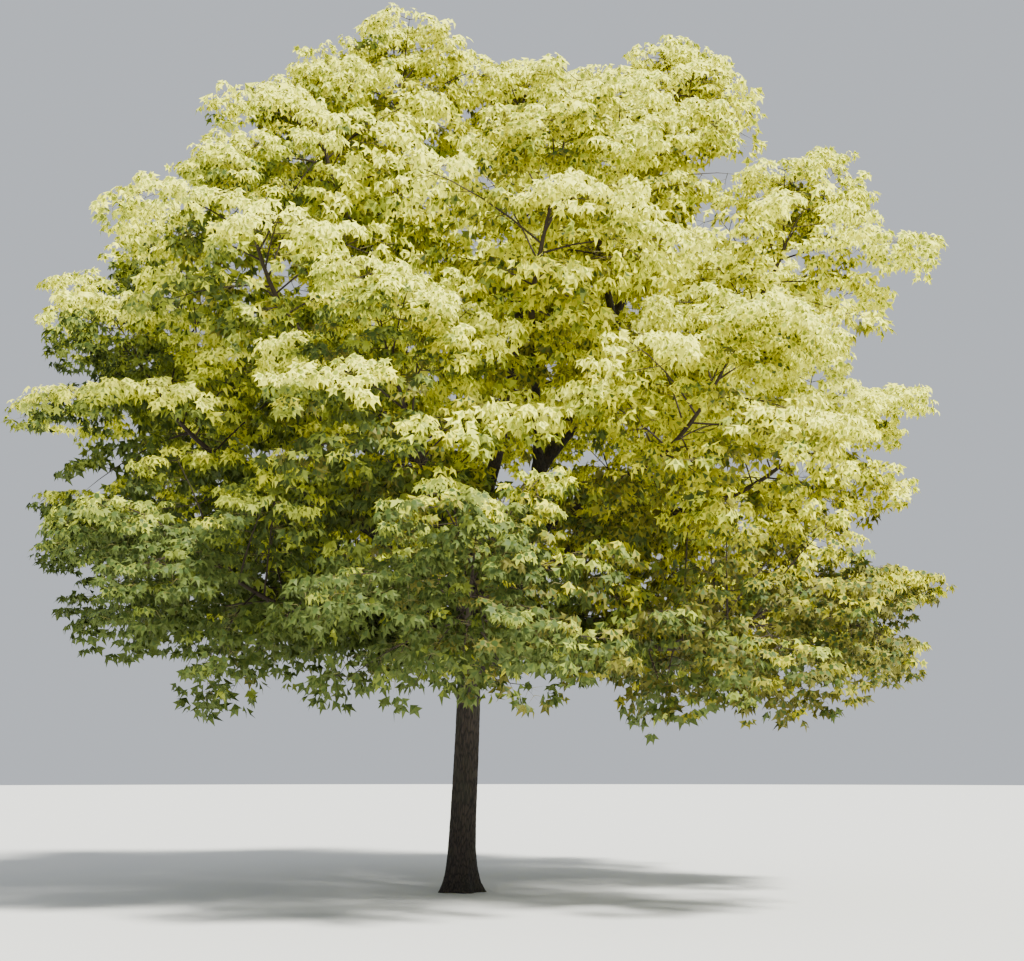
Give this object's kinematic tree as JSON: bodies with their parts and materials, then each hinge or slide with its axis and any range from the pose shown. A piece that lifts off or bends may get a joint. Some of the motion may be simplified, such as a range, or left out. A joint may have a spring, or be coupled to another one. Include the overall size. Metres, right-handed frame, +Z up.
{
  "type": "variegated maple tree",
  "caption": "Whole broad-crowned maple with cream-edged leaves: short flared trunk, leaders, boughs and separate masses of foliage, standing on its level cut foot.",
  "frame": {"origin": "middle of the flat cut under the trunk, at ground level", "axes": "+Z up the tree, -Y towards the viewer of the picture, +X to that viewer's right"},
  "size_m": [12.109, 12.1836, 11.7718],
  "materials": {
    "bark": "dark grey-brown bark with fine upright furrows, smoother on the boughs",
    "foliage": "matt green leaves with broad cream margins, palest at the top of the crown"
  },
  "bodies": {
    "root": {"trunk": "bark", "leader_left": "bark", "leader_right": "bark", "leader_back": "bark", "bough_skirt_1": "bark", "bough_skirt_2": "bark", "bough_skirt_3": "bark", "bough_skirt_4": "bark", "bough_skirt_5": "bark", "bough_skirt_6": "bark", "bough_skirt_7": "bark", "bough_skirt_8": "bark", "bough_waist_1": "bark", "bough_waist_2": "bark", "bough_waist_3": "bark", "bough_waist_4": "bark", "bough_waist_5": "bark", "bough_waist_6": "bark", "bough_waist_7": "bark", "bough_shoulder_1": "bark", "bough_shoulder_2": "bark", "bough_shoulder_3": "bark", "bough_shoulder_4": "bark", "bough_shoulder_5": "bark", "bough_shoulder_6": "bark", "bough_shoulder_7": "bark", "bough_upper_1": "bark", "bough_upper_2": "bark", "bough_upper_3": "bark", "bough_upper_4": "bark", "mass_skirt_1": "foliage", "mass_skirt_2": "foliage", "mass_skirt_3": "foliage", "mass_skirt_4": "foliage", "mass_skirt_5": "foliage", "mass_skirt_6": "foliage", "mass_skirt_7": "foliage", "mass_skirt_8": "foliage", "mass_waist_1": "foliage", "mass_waist_2": "foliage", "mass_waist_3": "foliage", "mass_waist_4": "foliage", "mass_waist_5": "foliage", "mass_waist_6": "foliage", "mass_waist_7": "foliage", "mass_shoulder_1": "foliage", "mass_shoulder_2": "foliage", "mass_shoulder_3": "foliage", "mass_shoulder_4": "foliage", "mass_shoulder_5": "foliage", "mass_shoulder_6": "foliage", "mass_shoulder_7": "foliage", "mass_upper_1": "foliage", "mass_upper_2": "foliage", "mass_upper_3": "foliage", "mass_upper_4": "foliage", "mass_spire_left": "foliage", "mass_spire_right": "foliage", "mass_spire_back": "foliage"}
  },
  "joints": []
}
